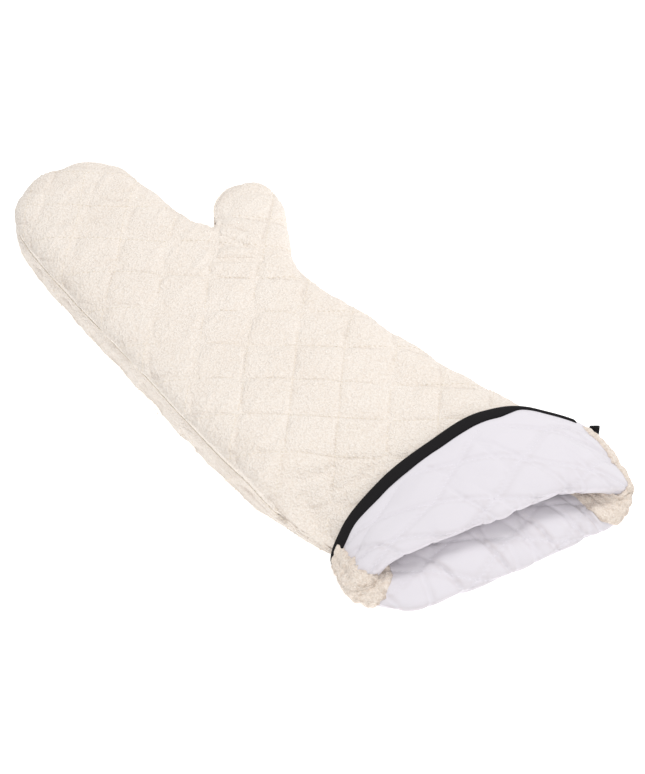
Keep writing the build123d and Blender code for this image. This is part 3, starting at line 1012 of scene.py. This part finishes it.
def beads(centres, ways, ups, length, radius):
    """One mesh of small rounded stitches."""
    ring = np.linspace(0, 2 * np.pi, 6, endpoint=False)
    t = np.array([-0.5, -0.32, 0.0, 0.32, 0.5])
    r = np.array([0.15, 0.8, 1.0, 0.8, 0.15])
    side = np.cross(ups, ways)
    sunk = r[:, None] * np.sin(ring) * radius - (1 - r)[:, None] * radius * 0.8
    points = (
        centres[:, None, None]
        + ways[:, None, None] * (t * length)[None, :, None, None]
        + side[:, None, None] * (r[:, None] * np.cos(ring) * radius)[None, ..., None]
        + ups[:, None, None] * sunk[None, ..., None]
    )
    one = tube_faces(len(t), len(ring))
    faces = [tuple(i + k * t.size * ring.size for i in f) for k in range(len(centres)) for f in one]
    return points.reshape(-1, 3), faces


def quilt_lines():
    """Points on the quilting lines of the flat shape, with the direction of the line at each."""
    places, ways = [], []
    s = np.arange(-420, 420, STITCH_EVERY)
    for k in range(-14, 15):
        fixed = np.full(len(s), k * PITCH)
        for u, v, way in ((fixed, s, (-1, 1)), (s, fixed, (1, 1))):
            places.append(np.c_[u - v, u + v] / math.sqrt(2) + np.array(QUILT_AT))
            ways.append(np.tile(np.array(way) / math.sqrt(2), (len(s), 1)))
    return np.concatenate(places), np.concatenate(ways)


line_x, line_way = quilt_lines()
keep = inside_of(edge, line_x, 7.0) & (line_x[:, 1] > end_of_sleeve(line_x[:, 0]) + 40)
line_x, line_way = line_x[keep], line_way[keep]


def stitches_on(side):
    """The quilting stitches on the outside of one panel."""
    step = 0.8
    p, d, flat = surface(line_x, side)
    q, _, _ = surface(line_x + line_way * step, side)
    r, _, _ = surface(line_x + line_way[:, ::-1] * np.array([-1, 1]) * step, side)
    way = q - p
    way /= np.linalg.norm(way, axis=1)[:, None]
    up = np.cross(way, r - p)
    up /= np.linalg.norm(up, axis=1)[:, None]
    up[(up[:, 2] < 0) != (side == "lower")] *= -1
    return beads(p + up * (terry_relief(p, d, flat) + 0.1)[:, None], way, up, 2.6, 0.35)


for side in ("upper", "lower"):
    piece = mesh_object(side + "_quilting_stitches", *stitches_on(side), YARN)
    over_the_thumb(piece, side + "_quilting_thread")
    print(piece.name, len(piece.data.polygons), "faces")

# %% [markdown]
# The same quilting shows on the turned-out lining, in white thread. The stitches use the cuff's
# coordinates and the lining's own relief, so they lie at the bottom of its dips.
# %% Stitches on the turned-back lining
def cuff_stitches():
    """Stitches along the quilting lines of the cuff's lining, as far as they can be seen."""
    rows = []
    for k in range(-8, 9):
        for way in (-1, 1):
            side = np.arange(14, HALF - 14, STITCH_EVERY)
            a = (FLAP_LINES[0] if way < 0 else FLAP_LINES[1]) + FLAP_PITCH * k + way * FLAP_SLANT * side
            for onward, r in ((1, side), (-1, GIRTH - side)):
                rows.append(np.c_[a, r, side, np.full(len(r), way), np.full(len(r), onward)])
    rows = np.concatenate(rows)
    rows = rows[(rows[:, 0] > 12) & (rows[:, 0] < 98)]
    a, r, side, way, onward = rows.T
    dr, da = flap_shake(side, a)
    a = a - da + way * FLAP_SLANT * dr
    p, out = cuff_frame(a, r)
    q, _ = cuff_frame(a + FLAP_SLANT * way, r + onward)
    direction = q - p
    direction /= np.linalg.norm(direction, axis=1)[:, None]
    return beads(p + out * (lining_relief(p, a, r) + 0.12)[:, None], direction, out, 2.3, 0.3)


piece = mesh_object("cuff_lining_stitches", *cuff_stitches(), WHITE_YARN)
on_the_hand(piece)
print(piece.name, len(piece.data.polygons), "faces")

# %% [markdown]
# The side seam joins the two panels: a row of stitches deep in the groove between them, all the way
# round from one side of the cuff to the other. It follows the edge just inside it, at the height
# where the panels meet, so it turns round the thumb as they do.
# %% Side seam stitches
SEAM_EVERY = 3.2


def along_way(points):
    """The direction of a row of points at each of them."""
    way = np.gradient(points, axis=0)
    return way / np.linalg.norm(way, axis=1)[:, None]


rim = through(edge[edge[:, 1] > end_of_sleeve(edge[:, 0]) + 30], SEAM_EVERY)
rim_way = along_way(rim)
place, _, _ = surface(rim + np.c_[rim_way[:, 1], -rim_way[:, 0]] * 0.02, "upper")
outward = np.c_[-rim_way[:, 1], rim_way[:, 0], np.zeros(len(rim))]
stitches = beads(place + outward * 0.4, along_way(place), outward, 2.6, 0.5)
piece = mesh_object("side_seam_stitches", *stitches, YARN)
over_the_thumb(piece, "perimeter_seam_thread", "perimeter_seam_thread_thumb")
print(piece.name, len(piece.data.polygons), "faces")

# %% [markdown]
# A plain pale floor under soft, even light, with the camera where it shows the cuff. The floor gives
# off a little light of its own, so that it stays white. White cloth on a white floor shows its shape
# only if the light comes from somewhere, so a key light stands above the thumb's side, across the
# steep quilting lines, and a weaker one opens up the mouth of the cuff.
# %% Floor, light and camera
floor_mesh = bpy.data.meshes.new("floor")
floor_mesh.from_pydata([(-6, -6, 0), (6, -6, 0), (6, 6, 0), (-6, 6, 0)], [], [(0, 1, 2, 3)])
floor = bpy.data.objects.new("floor", floor_mesh)
bpy.context.scene.collection.objects.link(floor)
floor.location.z = -0.0005
paper = bpy.data.materials.new("pale_floor")
paper.use_nodes = True
shader = paper.node_tree.nodes["Principled BSDF"]
shader.inputs["Base Color"].default_value = (0.93, 0.93, 0.93, 1)
shader.inputs["Roughness"].default_value = 1.0
shader.inputs["Specular IOR Level"].default_value = 0.0
shader.inputs["Emission Color"].default_value = (1, 1, 1, 1)
shader.inputs["Emission Strength"].default_value = 0.5
floor_mesh.materials.append(paper)

world = bpy.data.worlds.new("studio")
world.use_nodes = True
world.node_tree.nodes["Background"].inputs["Color"].default_value = (1, 1, 1, 1)
world.node_tree.nodes["Background"].inputs["Strength"].default_value = 0.52
bpy.context.scene.world = world
bpy.context.scene.view_settings.view_transform = "Standard"


def soft_light(name, place, aim, size, watts):
    """A square soft light."""
    data = bpy.data.lights.new(name, "AREA")
    data.size = size
    data.energy = watts
    obj = bpy.data.objects.new(name, data)
    obj.location = place
    obj.rotation_mode = "QUATERNION"
    obj.rotation_quaternion = (Vector(aim) - Vector(place)).to_track_quat("-Z", "Y")
    bpy.context.scene.collection.objects.link(obj)


soft_light("key", (0.7, 0.15, 1.45), (0, 0, 0), 0.6, 15)
soft_light("fill", (-0.9, -1.2, 0.9), (0, -0.1, 0), 1.2, 9.5)

AZIMUTH, ELEVATION = math.radians(-41), math.radians(46)
LOOK_AT = Vector((-7, -25, 20))
DISTANCE = 2356.7
back = Vector(
    (
        math.sin(AZIMUTH) * math.cos(ELEVATION),
        -math.cos(AZIMUTH) * math.cos(ELEVATION),
        math.sin(ELEVATION),
    )
)
side_way = Vector((math.cos(AZIMUTH), math.sin(AZIMUTH), 0))
up_way = back.cross(side_way)
camera_data = bpy.data.cameras.new("camera")
camera_data.lens = 139.53
camera_data.sensor_width = 36
camera = bpy.data.objects.new("camera", camera_data)
camera.location = (LOOK_AT + back * DISTANCE + side_way * 17.67 - up_way * 5.5) * MM
camera.rotation_mode = "QUATERNION"
camera.rotation_quaternion = (-back).to_track_quat("-Z", "Y")
bpy.context.scene.collection.objects.link(camera)
bpy.context.scene.camera = camera
print("camera:", round(camera.location.length, 2), "m from the mitt")
